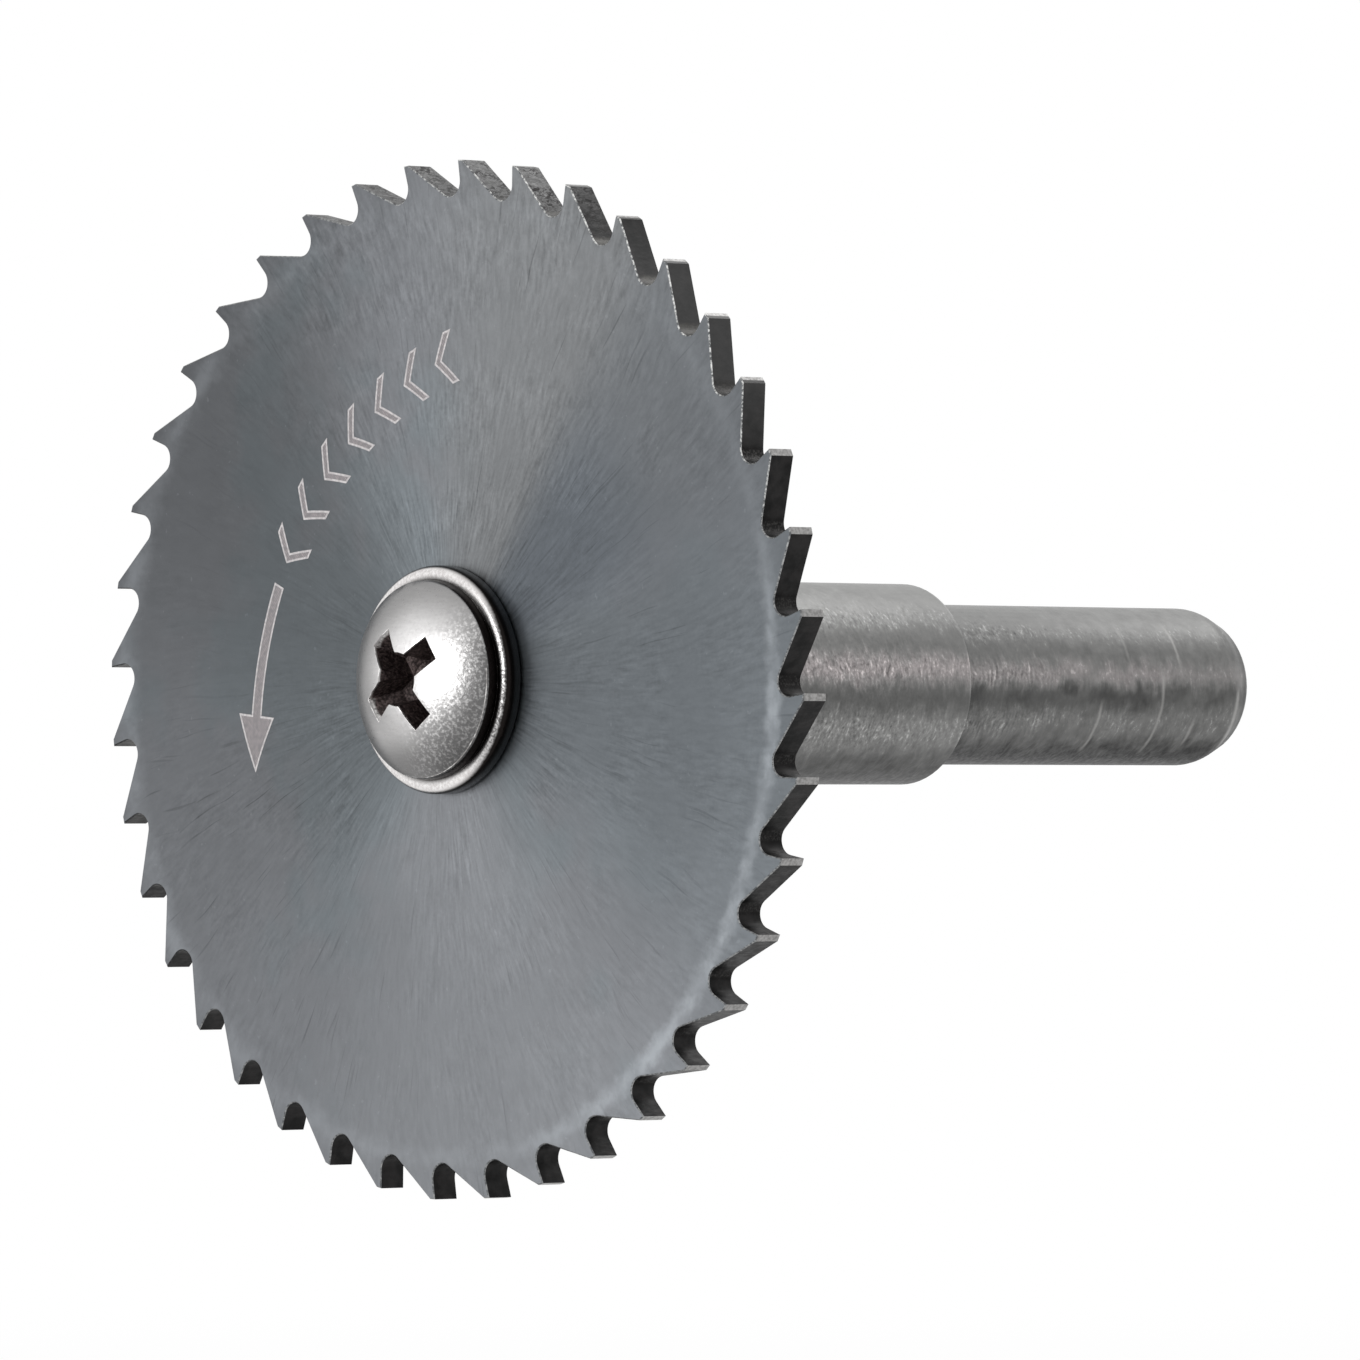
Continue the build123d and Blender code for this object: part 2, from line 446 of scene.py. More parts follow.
def tooth_steel():
    """Cutting faces, gullets and tooth backs: near black, with painted light making the backs grey at the
    top, and grey at the upper right.
    """
    s = Shader("tooth_flanks")
    slow = s.noise(s.position, scale=1.2, detail=3.0)
    torn = s.noise(s.stretched(4.2, 1.8, 4.2), detail=4.0, roughness=0.6)
    grain = s.noise(s.position, scale=9.0, detail=2.0)
    upper = painted_lit_backs(s)
    dark = s.mix(s.between(slow, 0.35, 0.65), colour(33, 33, 33), colour(46, 45, 45))
    dark = s.mix(right_backs(s), dark, colour(88, 88, 88))

    # The rough backs are painted grey for the light from above, have torn dark lines, and are lighter towards
    # the tooth's edge
    grey = s.scaled(colour(103, 103, 103), s.total(1.0, (s.centred(slow), 0.8), (s.centred(grain), 0.6)))
    across = s.vector(s.times(s.math("ADD", s.x, s.y), 2.2), s.times(s.math("SUBTRACT", s.y, s.x), 0.6),
                      s.times(s.z, 6.0))
    line = s.larger(s.band(torn, 0.55, 0.070), s.band(torn, 0.41, 0.050),
                    s.between(s.noise(across, detail=3.0), 0.56, 0.62))
    grey = s.mix(s.times(line, s.between(slow, 0.36, 0.52, 0.35, 1.0)), grey, colour(36, 35, 35))
    grey = s.scaled(grey, s.between(s.radius, gullet_foot + 0.45, gullet_foot + 1.35, 0.84, 1.06))
    steel = s.mix(upper, dark, grey)

    # The gullets' floors are black, but lit at the upper right, and flecked where they are deepest
    lit = s.times(s.lobe(60, 30), s.between(torn, 0.35, 0.55, 0.4, 1.0))
    floor = s.mix(lit, colour(22, 21, 21), colour(102, 101, 98))
    on_floor = s.times(s.fading(s.radius, gullet_foot + 0.03, gullet_foot + 0.19),
                       s.between(grain, 0.3, 0.6, 0.4, 1.0), s.total(0.85, (upper, -0.20)))
    steel = s.mix(on_floor, steel, floor)
    flecks = s.times(s.band(s.radius, gullet_foot + 0.02, 0.06), s.between(grain, 0.42, 0.62),
                     s.total(0.35, (s.lobe(60, 50), 0.45)))
    steel = s.mix(flecks, steel, colour(84, 83, 82))
    return s.metal(steel, s.between(torn, 0.2, 0.8, 0.40, 0.6), s.bump(torn, 0.015))


def land_steel():
    """The narrow ground flat behind each cutting edge, dark at its heel on the upper right teeth, where it
    takes the tone of the tooth backs.
    """
    s = Shader("tooth_lands")
    grain = s.noise(s.position, scale=6.0, detail=3.0)
    steel = s.mix(s.between(grain, 0.30, 0.70), colour(128, 127, 126), colour(162, 161, 160))

    # The phase goes from 0 to 1 in each pitch, and is one half at the cutting edge
    from_half_pitch = s.math("SUBTRACT", s.angle, radians(first_tooth - tooth_pitch / 2))
    phase = s.math("FRACT", s.times(from_half_pitch, 1 / radians(tooth_pitch)))
    heel = s.times(s.fading(phase, 0.445, 0.465), s.between(s.lobe(68, 46), 0.0, 0.3))
    back = s.mix(s.larger(painted_lit_backs(s), right_backs(s)), colour(44, 43, 43), colour(92, 92, 92))
    return s.metal(s.mix(heel, steel, back), 0.36, s.bump(grain, 0.010))


def burr_steel():
    """The thin broken burr that grinding leaves along the tooth edges."""
    s = Shader("tooth_burrs")
    grain = s.noise(s.position, scale=6.0, detail=4.0, roughness=0.7)
    # Painted light and shade: the burr is bright at the upper right and near black at the left
    bright = s.mix(s.lobe(58, 52), colour(150, 151, 151), colour(228, 228, 226))
    steel = s.mix(s.between(grain, 0.40, 0.62), colour(92, 94, 96), bright)
    shade_at_left = s.between(s.lobe(178, 50), 0.0, 0.3)
    steel = s.mix(s.times(shade_at_left, 0.85), steel, colour(30, 30, 31))
    return s.metal(steel, 0.38, s.bump(grain, 0.012))


def etched_outline():
    """The bright burnt outline of a mark."""
    s = Shader("mark_outline")
    grain = s.noise(s.position, scale=7.0, detail=2.0)
    steel = s.mix(s.between(grain, 0.35, 0.65), colour(176, 172, 173), colour(208, 204, 204))
    return s.metal(steel, 0.5, metallic=0.35)


def etched_hatch():
    """The hatched filling of a mark, a little pink and paler than the ground steel."""
    s = Shader("mark_hatch")
    diagonal = s.times(s.math("ADD", s.x, s.z), 2 * pi / (hatch_pitch * sqrt(2)))
    lines = s.total(0.5, (s.math("SINE", diagonal), 0.5))
    grain = s.noise(s.position, scale=5.0, detail=3.0)
    steel = s.mix(s.times(lines, s.between(grain, 0.3, 0.7)), colour(128, 125, 127), colour(168, 160, 160))
    return s.metal(steel, 0.45, metallic=0.6)


class TurnedSteel(Shader):
    """The arbor's steel, turned and emeried.

    Its round_height is -1 at the bottom of the round and 1 at the top. Its height is the same with a
    ragged, uneven run, and the painted bands of reflected light and shade follow it.
    """

    def __init__(self):
        super().__init__("arbor_turned")
        self.round_height = self.math("DIVIDE", self.z, self.larger(self.radius, 0.2))
        self.on_shank = self.fading(self.radius, collar_radius - 0.8, collar_radius - 0.5)
        self.warp = self.centred(self.noise(self.position, scale=0.6, detail=1.0))
        self.leaning = self.total(self.y, (self.z, 0.05), (self.warp, 0.8))
        self.uneven = self.centred(self.noise(self.position, scale=1.1, detail=3.0, roughness=0.6))
        self.patches = self.centred(self.noise(self.position, scale=0.55, detail=2.0))
        self.small_patches = self.centred(self.noise(self.position, scale=1.5, detail=2.0))
        self.height = self.total(self.round_height, (self.uneven, 0.24),
                                 (self.centred(self.strokes(2.2, 0.5, 3.0)), 0.24),
                                 (self.times(self.on_shank, self.patches), 0.12))

        # The shank is smoother and patchier towards its free end
        self.calm = self.between(self.y, collar_end + 4.0, collar_end + 8.5)
        self.near_tip = self.between(self.y, -8.0, -5.0)

    def strokes(self, fineness, length, detail=2.0):
        """Noise drawn out round the axis."""
        place = self.vector(self.times(self.x, length), self.times(self.leaning, fineness),
                            self.times(self.z, length))
        return self.noise(place, detail=detail, roughness=0.6)

    def painted_upper_band(self):
        """The brightest band, a painted highlight, with a gap in it on the shank."""
        gap = self.larger(self.band(self.total(self.y, (self.patches, 5.0)), -12.2, 1.7),
                          self.times(self.near_tip, 0.7))
        strength = self.total(1.0, (self.on_shank, -0.22), (self.times(self.on_shank, gap), -0.42))
        return self.times(self.band(self.height, 0.14, 0.23), strength)

    def painted_lower_bands(self):
        """The dark middle band and the bright lower one, painted reflections, both broken on the shank."""
        broken = self.times(self.on_shank, self.between(self.patches, -0.09, 0.09, -0.45, 0.25))
        middle = self.times(self.band(self.height, -0.17, 0.26),
                            self.total(1.0, (self.near_tip, -0.45), (broken, -0.7)))
        lower = self.times(self.band(self.height, -0.46, 0.29), self.total(1.0, (broken, 1.0)))
        return middle, lower

    def painted_bands_and_blotches(self, upper, middle, lower):
        """The painted bands of reflected light and shade along the arbor, and its blotches of light and dark.
        """
        # Painted shade on the bottom of the round
        bottom = self.fading(self.height, -0.92, -0.58)
        blotches = self.centred(self.noise(self.stretched(1.2, 0.7, 1.2), detail=4.0, roughness=0.6))
        return self.total(
            1.10,
            (self.between(self.height, 0.49, 0.78), 0.32),
            (self.band(self.height, 0.45, 0.16), -0.10),
            (upper, 0.84),
            (middle, -0.36),
            (lower, 0.39),
            (bottom, -0.80),
            (self.times(bottom, self.on_shank), -0.30),
            (self.centred(self.strokes(1.6, 0.7)), 0.26),
            (blotches, 0.50),
            (self.times(self.calm, self.small_patches), 0.62),
        )

    def sparkle(self, fine, upper, lower):
        """Short strokes, strongest where light falls: on the two bright bands and near the top."""
        lit = self.larger(upper, lower, self.band(self.height, 0.64, 0.16))
        on_collar = self.math("SUBTRACT", 1.0, self.on_shank)
        collar_rear = self.times(self.between(self.y, collar_end - 8.0, collar_end - 1.0), on_collar)
        strokes = self.times(self.centred(fine), self.total(0.8, (lit, 1.7), (self.on_shank, -0.15)),
                             self.total(1.0, (self.calm, -0.50), (collar_rear, -0.38)))
        bright = self.times(self.between(fine, 0.60, 0.70), self.total(0.05, (lit, 0.45)))
        return self.math("ADD", strokes, bright)

    def turning_lines(self, upper, lower):
        """Fine lines round the shank beside the collar, in patches of the two bright bands."""
        along = self.total(self.y, (self.warp, 0.9))
        waves = self.math("SINE", self.times(along, 2 * pi / turning_line_pitch))
        return self.times(waves, self.between(self.y, collar_end + 0.8, collar_end + 2.2),
                          self.fading(self.y, collar_end + 4.5, collar_end + 7.5), self.larger(upper, lower),
                          self.between(self.small_patches, -0.06, 0.06))

    def shading(self):
        """The shank's darker tone, more on its lower half, the painted shade at its foot, a painted highlight
        on the collar's rear edge and painted shade on the tip.
        """
        below = self.fading(self.height, -0.10, 0.05)
        darker = self.times(self.on_shank, self.total(0.08, (below, 0.15)))
        foot = self.times(self.on_shank,
                          self.fading(self.y, collar_end, self.total(collar_end + 1.3, (below, 1.4))))
        rear = self.total(self.between(self.y, collar_end - 0.45, collar_end - 0.25), (self.on_shank, -1.0))
        return self.times(self.total(1.0, (darker, -1.0)),
                          self.total(1.0, (foot, -0.34), (self.larger(rear, 0.0), 0.42)),
                          self.between(self.y, -1.15, -0.55, 1.0, 0.50))

    def with_turning_marks_and_glint(self, steel):
        """Add the bright marks that run part of the way round the shank, and the painted highlight where the
        lead starts.
        """
        along = self.total(self.y, (self.uneven, 0.25))
        for y, half_width, low, high, strength in turning_marks_and_glint:
            mark = self.times(self.band(along, y, half_width),
                              self.between(self.round_height, low - 0.1, low + 0.1),
                              self.fading(self.round_height, high - 0.1, high + 0.1), strength)
            steel = self.mix(mark, steel, colour(170, 169, 167))
        return steel


def arbor_steel():
    """Turned and emeried steel: painted bands of reflected light and shade, and short bright strokes round
    the axis.
    """
    s = TurnedSteel()
    fine = s.total(s.strokes(4.8, 2.5, 3.0), (s.centred(s.noise(s.position, scale=7.0, detail=2.0)), 0.45))
    upper = s.painted_upper_band()
    middle, lower = s.painted_lower_bands()
    strokes = s.total(1.0, (s.sparkle(fine, upper, lower), 1.0), (s.turning_lines(upper, lower), 0.30))
    tone = s.times(s.painted_bands_and_blotches(upper, middle, lower), strokes, s.shading())
    # A little pinker in the painted highlight band
    steel = s.mix(s.times(upper, 0.8), colour(110, 110, 109), colour(113, 108, 108))
    steel = s.with_turning_marks_and_glint(s.scaled(steel, tone))
    return s.metal(steel, s.between(fine, 0.2, 0.8, 0.36, 0.52), s.bump(fine, 0.008), anisotropy=0.4)


def washer_plating():
    """Bright plating on the rolled front edge, with painted shade on the side behind it and next to the head.
    """
    s = Shader("washer_bright")
    grain = s.noise(s.position, scale=6.0, detail=3.0)
    right = s.lobe(-8, 60)
    bright = s.mix(s.between(grain, 0.30, 0.70), colour(212, 208, 207), colour(240, 238, 237))
    flecks = s.between(s.noise(s.position, scale=9.0, detail=2.0), 0.38, 0.62)
    bright = s.mix(right, bright, s.mix(flecks, colour(88, 86, 86), colour(178, 177, 176)))
    # Painted shade on the side behind the rolled edge, and next to the head
    behind = s.between(s.total(s.y, (s.centred(grain), 0.08)), washer_front + 0.03,
                       s.total(washer_front + 0.24, (right, -0.11)))
    shade_under_head = s.fading(s.radius, s.total(washer_radius - 0.78, (right, 0.26)),
                          s.total(washer_radius - 0.38, (right, 0.10)))
    plated = s.mix(s.larger(behind, shade_under_head), bright, colour(30, 27, 26))

    # Painted reflection: the rear of its side takes on the tone of the blade behind it
    rear = s.between(s.y, washer_front + 0.42, washer_front + 0.66)
    plated = s.mix(rear, plated, s.mix(s.lobe(-8, 66), colour(96, 97, 98), colour(68, 69, 70)))
    return s.metal(plated, 0.26, s.bump(grain, 0.004))


def painted_dome_light(s, lower_right):
    """How bright the screw's dome is painted: most beside the recess, with a painted highlight, and least at
    the lower right and the bottom, with painted shade.
    """
    # Painted highlights round the recess, painted shade at the lower right, the bottom and the left rim
    painted_highlight = s.fading(s.hypotenuse(s.math("SUBTRACT", s.x, 0.95), s.math("SUBTRACT", s.z, 0.5)), 0.8, 3.9)
    above = s.times(s.band(s.z, 2.9, 1.9), s.between(s.x, -1.2, 0.8))
    beneath = s.times(s.band(s.z, -2.6, 1.3), s.between(s.x, -3.2, -1.6), s.fading(s.x, 0.0, 1.5))
    painted_shade = s.times(s.between(lower_right, 2.2, 4.8, 1.0, 0.50), s.between(s.z, -4.4, -2.4, 0.66, 1.0))
    left = s.times(s.fading(s.x, -4.2, -2.4), s.between(s.z, -1.0, 1.5, 1.0, 0.3))
    level = s.total(0.0, (painted_shade, 0.31), (painted_highlight, 0.52), (above, 0.06), (beneath, 0.12))
    return s.times(level, s.total(1.0, (left, -0.22)))


def screw_plating():
    """Satin plating with a painted highlight and shade, pebbled towards the lower right, with a painted dark
    side and a dark brown recess.
    """
    s = Shader("screw_satin")
    grain = s.noise(s.position, scale=6.6, detail=3.0, roughness=0.6)
    lower_right = s.total(s.x, (s.z, -0.45))
    pebbled = s.between(lower_right, 0.8, 3.6)
    flecks = s.times(pebbled, s.between(grain, 0.46, 0.66, -0.16, 0.84))
    brushed = s.centred(s.noise(s.stretched(1.5, 1.0, 9.0), detail=2.0))
    texture = s.total(1.0, (flecks, 0.90), (brushed, 0.20), (s.centred(grain), 0.22))
    level = s.math("MINIMUM", s.times(painted_dome_light(s, lower_right), texture), 0.96)
    plated = s.scaled((1.0, 0.985, 0.98, 1.0), level)

    # Painted shade: the head's side is dark
    rim_y = washer_front - head_side_height
    plated = s.mix(s.between(s.y, rim_y + 0.04, rim_y + 0.10), plated, colour(32, 28, 27))

    # The ends of the recess's two left wings catch the light
    brown = s.mix(s.between(grain, 0.40, 0.70), colour(50, 42, 41), colour(112, 99, 97))
    wing_ends = s.times(s.larger(s.lobe(126, 24), s.lobe(216, 24)),
                        s.between(s.radius, recess_reach - 0.12, recess_reach - 0.06),
                        s.between(grain, 0.35, 0.6, 0.35, 1.0))
    brown = s.mix(wing_ends, brown, colour(222, 220, 218))
    inside = inside_recess(s, 0.14, 0.05)
    plated = s.mix(inside, plated, brown)
    return s.metal(plated, s.between(grain, 0.3, 0.7, 0.27, 0.36), s.bump(s.times(grain, pebbled), 0.022),
                   metallic=s.total(1.0, (inside, -0.35)))


def inside_recess(s, full_depth, from_depth):
    """1 in the screw's recess where it is at least full_depth below the dome, and 0 down to from_depth."""
    dome_centre_y = washer_front - head_side_height - dome_height + dome_radius
    from_dome_centre = s.hypotenuse(s.radius, s.math("SUBTRACT", s.y, dome_centre_y))
    deep = s.fading(from_dome_centre, dome_radius - full_depth, dome_radius - from_depth)
    return s.times(deep, s.fading(s.radius, recess_reach + 0.3, recess_reach + 0.5))


def screw_edge_plating():
    """The screw's rounded edges, which catch the light, except deep in the recess."""
    s = Shader("screw_edges")
    grain = s.noise(s.position, scale=3.0, detail=3.0)
    steel = s.mix(s.between(grain, 0.40, 0.62), colour(150, 146, 144), colour(252, 250, 248))
    steel = s.mix(inside_recess(s, 0.16, 0.07), steel, colour(56, 48, 47))
    return s.metal(steel, 0.3)


def place_key(mesh, index):
    """A vertex's place in whole micrometres, so that split vertices count as one."""
    return tuple(round(c / MM * 1000) for c in mesh.vertices[index].co)


def boundary_loops(mesh, facing):
    """The outlines of the flat faces whose normal is facing, as closed lists of points in order."""
    nearly_parallel = 0.99
    edge_use = {}
    for face in mesh.polygons:
        if face.normal.dot(facing) < nearly_parallel:
            continue
        for a, b in face.edge_keys:
            key = tuple(sorted((place_key(mesh, a), place_key(mesh, b))))
            edge_use[key] = edge_use.get(key, 0) + 1
    neighbours = {}
    for (a, b), used in edge_use.items():
        if used == 1:
            neighbours.setdefault(a, []).append(b)
            neighbours.setdefault(b, []).append(a)
    loops = []
    while neighbours:
        first = min(neighbours)
        loop = [first]
        previous, current = first, neighbours[first][0]
        while current != first:
            loop.append(current)
            ahead = [n for n in neighbours[current] if n != previous]
            previous, current = current, ahead[0]
        for point in loop:
            neighbours.pop(point)
        loops.append([(x * MM / 1000, z * MM / 1000) for x, y, z in loop])
    return loops


def area(loop):
    """Twice the signed area inside a closed outline."""
    return sum(x0 * z1 - x1 * z0 for (x0, z0), (x1, z1) in zip(loop, loop[1:] + loop[:1]))


def inset(loop, distance):
    """A closed outline moved to its left by a distance, and a sharp corner by 2.5 times that at most."""
    sharpest = 0.4
    moved = []
    count = len(loop)
    for i, (x, z) in enumerate(loop):
        before = Vector((x, z)) - Vector(loop[i - 1])
        after = Vector(loop[(i + 1) % count]) - Vector((x, z))
        n0 = Vector((-before.y, before.x)).normalized()
        n1 = Vector((-after.y, after.x)).normalized()
        middle = (n0 + n1).normalized()
        step = distance / max(middle.dot(n0), sharpest)
        moved.append((x + middle.x * step, z + middle.y * step))
    return moved


def ring_of(bm, loop, y):
    """New vertices along an outline, at one place along the axis."""
    return [bm.verts.new((x, y, z)) for x, z in loop]


def wall(bm, a, b, material_of):
    """Faces between two rings of as many vertices."""
    count = len(a)
    for i in range(count):
        j = (i + 1) % count
        face = bm.faces.new((a[i], a[j], b[j], b[i]))
        face.material_index = material_of(i)


def fill(bm, loops, material_index):
    """Flat faces inside the first ring and outside the others."""
    edges = []
    for loop in loops:
        edges += [bm.edges.get((loop[i - 1], loop[i])) for i in range(len(loop))]
    made = bmesh.ops.triangle_fill(bm, edges=edges, use_beauty=True)
    for face in made["geom"]:
        if isinstance(face, bmesh.types.BMFace):
            face.material_index = material_index


def add_piece(name, bm, materials, smooth_below):
    """Turn a bmesh into a piece that rides on the body, smooth over edges below an angle in degrees."""
    bmesh.ops.recalc_face_normals(bm, faces=bm.faces)
    mesh = bpy.data.meshes.new(name)
    bm.to_mesh(mesh)
    bm.free()
    for material in materials:
        mesh.materials.append(material)
    mesh.shade_smooth()
    mesh.set_sharp_from_angle(angle=radians(smooth_below))
    piece = bpy.data.objects.new(name, mesh)
    bpy.context.scene.collection.objects.link(piece)
    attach(piece, BODY)
    return piece


def dressed_blade():
    """The blade with a small ground break along its tooth edges, built on the outline of the solid."""
    edge_break = tooth_edge_break * MM
    land_from = blade_high.x - land_margin * MM
    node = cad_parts["saw_blade"]
    loops = sorted(boundary_loops(node.data, Vector((0, -1, 0))), key=lambda loop: abs(area(loop)))
    bore, rim = loops[0], loops[-1]
    rim = rim if area(rim) > 0 else rim[::-1]
    bore = bore if area(bore) < 0 else bore[::-1]
    FACE, FLANK, LAND, BURR = range(4)

    def flank_or_land(i):
        (x0, z0), (x1, z1) = rim[i], rim[(i + 1) % len(rim)]
        return LAND if min(hypot(x0, z0), hypot(x1, z1)) > land_from else FLANK

    bm = bmesh.new()
    small = inset(rim, edge_break)
    front_face = ring_of(bm, small, blade_front)
    front_side = ring_of(bm, rim, blade_front + edge_break)
    back_side = ring_of(bm, rim, blade_back - edge_break)
    back_face = ring_of(bm, small, blade_back)
    wall(bm, front_face, front_side, lambda i: BURR)
    wall(bm, front_side, back_side, flank_or_land)
    wall(bm, back_side, back_face, lambda i: BURR)
    bore_front = ring_of(bm, bore, blade_front)
    bore_back = ring_of(bm, bore, blade_back)
    wall(bm, bore_front, bore_back, lambda i: FLANK)
    fill(bm, (front_face, bore_front), FACE)
    fill(bm, (back_face, bore_back), FACE)
    materials = (blade_face_steel(), tooth_steel(), land_steel(), burr_steel())
    blade = add_piece("blade", bm, materials, smooth_below=30)
    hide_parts("saw_blade")


def softened(name, node_name, edge_round, materials, wide_rings=()):
    """A node's form with its sharp edges rounded by a few hundredths of a millimetre.

    The rounded edges take the last of the materials. A wide ring, given by its place along the axis and
    its rounding, is rounded further.
    """
    same_point = 0.001 * MM
    same_place = 0.01 * MM
    flat_below = radians(0.2)
    sharp_above = radians(20)
    bm = bmesh.new()
    bm.from_mesh(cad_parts[node_name].data)
    bmesh.ops.remove_doubles(bm, verts=bm.verts, dist=same_point)
    bmesh.ops.dissolve_limit(bm, angle_limit=flat_below, verts=bm.verts, edges=bm.edges)
    for face in bm.faces:
        face.material_index = 0
    for place, wide_round in wide_rings:
        ring = [edge for edge in bm.edges if all(abs(v.co.y - place * MM) < same_place for v in edge.verts)
                and edge.calc_face_angle(0) > sharp_above]
        bmesh.ops.bevel(bm, geom=ring, offset=wide_round * MM, segments=6, profile=0.5, affect="EDGES",
                        clamp_overlap=True)
    sharp = [edge for edge in bm.edges if edge.calc_face_angle(0) > sharp_above]
    rounded = bmesh.ops.bevel(bm, geom=sharp, offset=edge_round * MM, segments=2, profile=0.5,
                              affect="EDGES", clamp_overlap=True)
    for face in rounded["faces"]:
        face.material_index = len(materials) - 1
    piece = add_piece(name, bm, materials, smooth_below=35)
    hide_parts(node_name)


def mark_place(along, up):
    """A place on the blade's face, from its distance along the marks' circle and above it."""
    turn = radians(mark_start) + along / mark_radius
    place = mark_centre + (mark_radius + up) * Vector((cos(turn), sin(turn)))
    return place.x * MM, place.y * MM


def mark_loop(corners, longest=0.35):
    """A mark's closed outline, with its long sides divided so that they follow the circle."""
    loop = []
    for (s0, u0), (s1, u1) in zip(corners, corners[1:] + corners[:1]):
        steps = max(1, round(hypot(s1 - s0, u1 - u0) / longest))
        loop += [mark_place(s0 + (s1 - s0) * i / steps, u0 + (u1 - u0) * i / steps) for i in range(steps)]
    return loop if area(loop) > 0 else loop[::-1]


def chevron(start):
    """The corners of a chevron that points along the marks' circle."""
    tall = mark_half_height
    end = start + chevron_stroke
    return [(start, tall), (end, tall), (end + chevron_arm, 0),
            (end, -tall), (start, -tall), (start + chevron_arm, 0)]


def arrow(start):
    """The corners of an arrow along the marks' circle."""
    neck = start + arrow_shaft_length
    tip = neck + arrow_head_length
    tall, thin = mark_half_height, arrow_half_shaft
    return [(start, thin), (neck, thin), (neck, tall), (tip, 0),
            (neck, -tall), (neck, -thin), (start, -thin)]


def etched_marks():
    """Generic marks: chevrons, and an arrow that points the way the teeth cut."""
    OUTLINE, HATCH = range(2)
    shapes = [chevron(i * chevron_pitch) for i in range(chevron_count)]
    shapes.append(arrow(chevron_count * chevron_pitch + arrow_gap))
    bm = bmesh.new()
    for corners in shapes:
        outer = mark_loop(corners)
        inner = inset(outer, mark_outline * MM)
        bottom = ring_of(bm, outer, blade_front + mark_depth * MM)
        top = ring_of(bm, outer, blade_front - outline_height * MM)
        edge = ring_of(bm, inner, blade_front - outline_height * MM)
        floor = ring_of(bm, inner, blade_front - hatch_height * MM)
        wall(bm, bottom, top, lambda i: OUTLINE)
        wall(bm, top, edge, lambda i: OUTLINE)
        wall(bm, edge, floor, lambda i: OUTLINE)
        fill(bm, (floor,), HATCH)
        fill(bm, (bottom,), OUTLINE)
    materials = (etched_outline(), etched_hatch())
    add_piece("etched_marks", bm, materials, smooth_below=30)


def keep_node(name, material):
    """Give a CAD node its material."""
    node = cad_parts[name]
    node.data.materials.clear()
    node.data.materials.append(material)


def seen_by_eye_or_gloss(tree):
    """1 for camera, glossy and transmission rays."""
    path = tree.nodes.new("ShaderNodeLightPath")
    total = path.outputs["Is Camera Ray"]
    for name in ("Is Glossy Ray", "Is Transmission Ray"):
        node = tree.nodes.new("ShaderNodeMath")
        node.operation = "MAXIMUM"
        tree.links.new(total, node.inputs[0])
        tree.links.new(path.outputs[name], node.inputs[1])
        total = node.outputs[0]
    return total


def make_floor():
    """A plain pale floor that turns white further out."""
    s = Shader("floor")
    nodes, links = s.tree.nodes, s.tree.links
    seen = seen_by_eye_or_gloss(s.tree)
    diffuse = nodes.new("ShaderNodeBsdfDiffuse")
    diffuse.inputs["Color"].default_value = (floor_tone, floor_tone, floor_tone, 1)
    near_glow = nodes.new("ShaderNodeEmission")
    s.join(s.times(seen, floor_glow), near_glow.inputs["Strength"])
    near = nodes.new("ShaderNodeAddShader")
    links.new(diffuse.outputs[0], near.inputs[0])
    links.new(near_glow.outputs[0], near.inputs[1])
    white = nodes.new("ShaderNodeEmission")
    far = s.times(s.between(s.hypotenuse(s.x, s.y), floor_white_from, floor_white_to), seen)
    both = nodes.new("ShaderNodeMixShader")
    links.new(far, both.inputs[0])
    links.new(near.outputs[0], both.inputs[1])
    links.new(white.outputs[0], both.inputs[2])
    links.new(both.outputs[0], s.output.inputs["Surface"])

    bm = bmesh.new()
    bmesh.ops.create_circle(bm, cap_ends=True, segments=96, radius=floor_radius * MM)
    mesh = bpy.data.meshes.new("floor")
    bm.to_mesh(mesh)
    bm.free()
    mesh.materials.append(s.material)
    floor = bpy.data.objects.new("floor", mesh)
    floor.location.z = floor_height * MM
    bpy.context.scene.collection.objects.link(floor)


def make_world():
    """A world that is white where it is seen, and gives a softer light."""
    world = bpy.data.worlds.new("studio")
    bpy.context.scene.world = world
    world.use_nodes = True
    tree = world.node_tree
    tree.nodes.clear()
    background = tree.nodes.new("ShaderNodeBackground")
    background.inputs["Color"].default_value = (1, 1, 1, 1)
    output = tree.nodes.new("ShaderNodeOutputWorld")
    strength = tree.nodes.new("ShaderNodeMapRange")
    tree.links.new(seen_by_eye_or_gloss(tree), strength.inputs[0])
    strength.inputs["To Min"].default_value = world_light
    strength.inputs["To Max"].default_value = 1.0
    tree.links.new(strength.outputs[0], background.inputs["Strength"])
    tree.links.new(background.outputs[0], output.inputs[0])


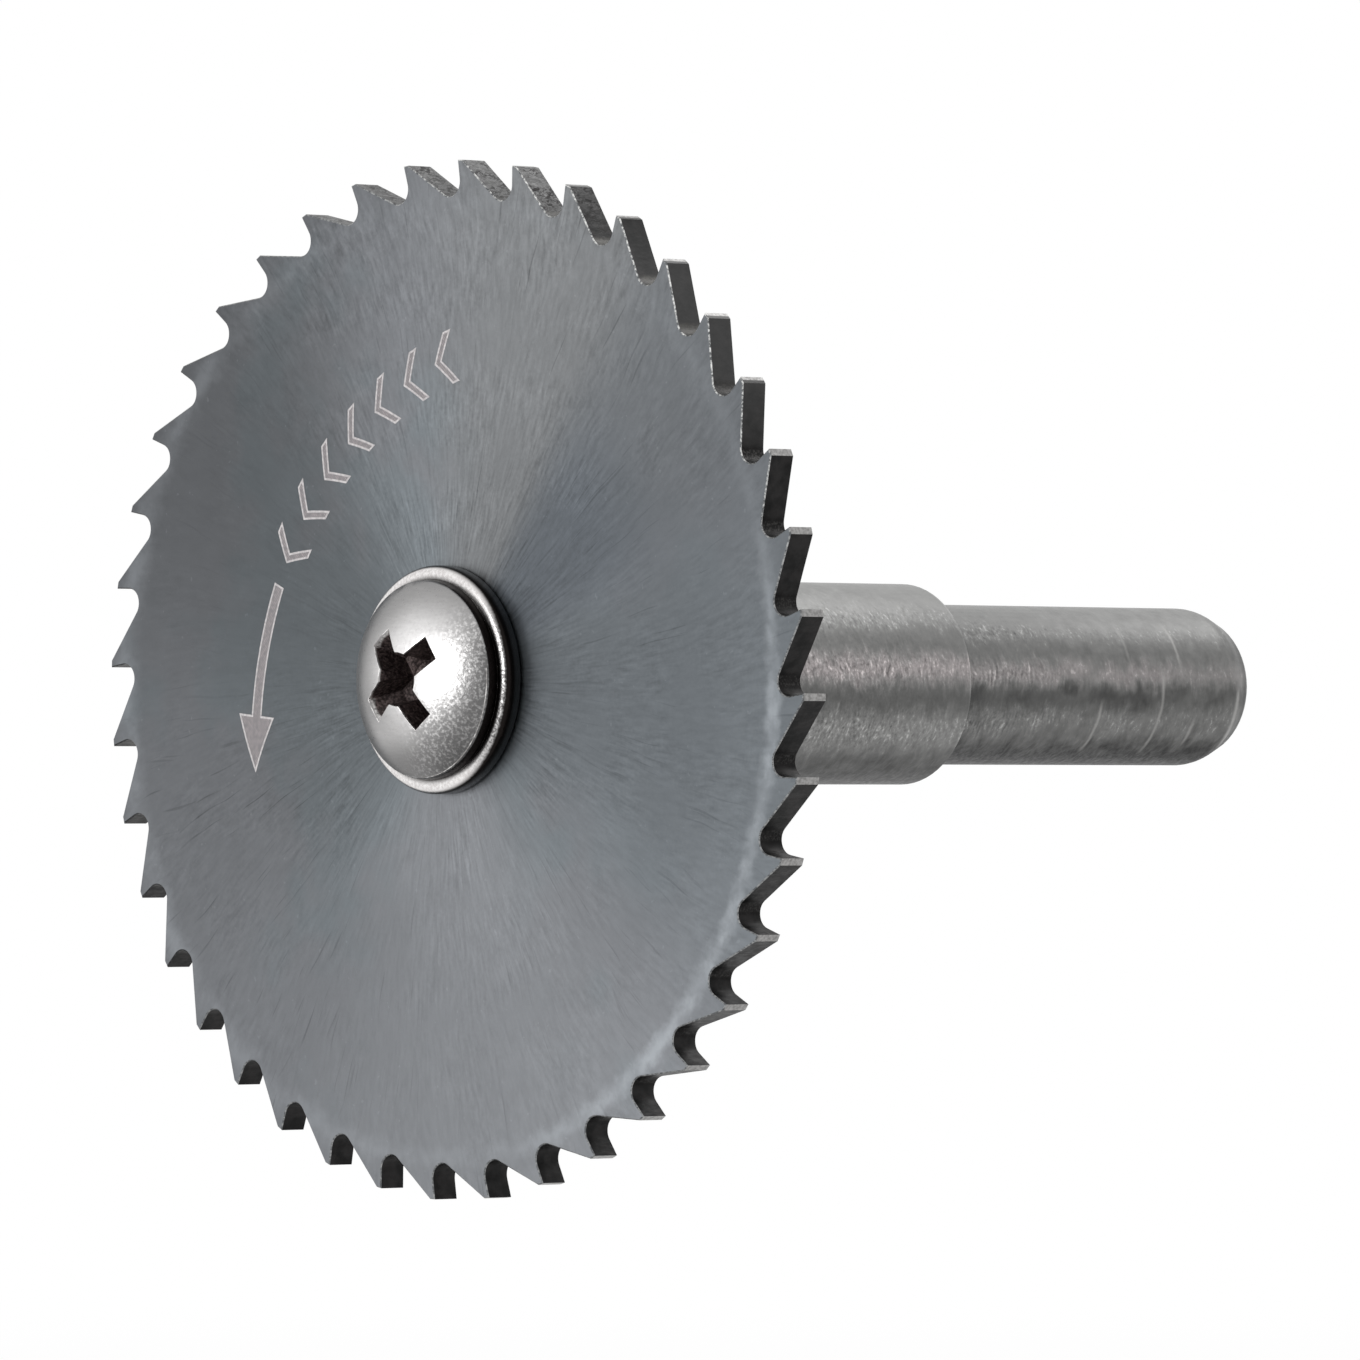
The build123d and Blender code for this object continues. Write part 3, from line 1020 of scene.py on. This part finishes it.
def direction(azimuth, elevation):
    """The unit vector towards a place round the object. Azimuth 0 is towards -Y, and 90 is towards +X."""
    a, e = radians(azimuth), radians(elevation)
    return Vector((sin(a) * cos(e), -cos(a) * cos(e), sin(e)))


def softbox(name, azimuth, elevation, distance, width, height, watts):
    """A soft area light that faces the object."""
    light = bpy.data.lights.new(name, "AREA")
    light.shape = "RECTANGLE"
    light.size = width * MM
    light.size_y = height * MM
    light.energy = watts
    lamp = bpy.data.objects.new(name, light)
    centre = Vector((0, (arbor_low.y + arbor_high.y) / 2, 0))
    away = direction(azimuth, elevation)
    lamp.location = centre + away * distance * MM
    lamp.rotation_euler = (-away).to_track_quat("-Z", "Y").to_euler()
    bpy.context.scene.collection.objects.link(lamp)


def make_lights():
    """Soft daylight from above and behind, and a softbox in front."""
    sun = bpy.data.lights.new("daylight", "SUN")
    sun.energy = sun_strength
    sun.angle = radians(sun_angle)
    lamp = bpy.data.objects.new("daylight", sun)
    lamp.rotation_euler = (-direction(sun_azimuth, sun_elevation)).to_track_quat("-Z", "Y").to_euler()
    bpy.context.scene.collection.objects.link(lamp)
    softbox("front_box", azimuth=-6, elevation=4, distance=620, width=300, height=340, watts=1.6)


def make_camera():
    """The photograph's viewing angle, with the whole object in the frame."""
    data = bpy.data.cameras.new("camera")
    data.lens = camera_lens
    data.sensor_width = camera_sensor
    data.clip_start = camera_sees_from * MM
    data.clip_end = camera_sees_to * MM
    camera = bpy.data.objects.new("camera", data)
    aim = Vector((camera_aim_x * MM, blade_front, camera_aim_z * MM))
    back = direction(camera_azimuth, camera_elevation)
    camera.location = aim + back * camera_distance * MM
    camera.rotation_euler = back.to_track_quat("Z", "Y").to_euler()
    bpy.context.scene.collection.objects.link(camera)
    bpy.context.scene.camera = camera


make_camera()
make_floor()
make_world()
make_lights()
dressed_blade()
etched_marks()
softened("arbor_soft", "arbor", arbor_edge_round, (arbor_steel(),),
         wide_rings=((lead_corner, lead_corner_round),
                     (tip_chamfer_end, tip_edge_round),
                     (0.0, tip_edge_round)))
softened("screw_soft", "clamp_screw", screw_edge_round, (screw_plating(), screw_edge_plating()))
keep_node("washer", washer_plating())

bpy.context.scene.view_settings.view_transform = "Standard"
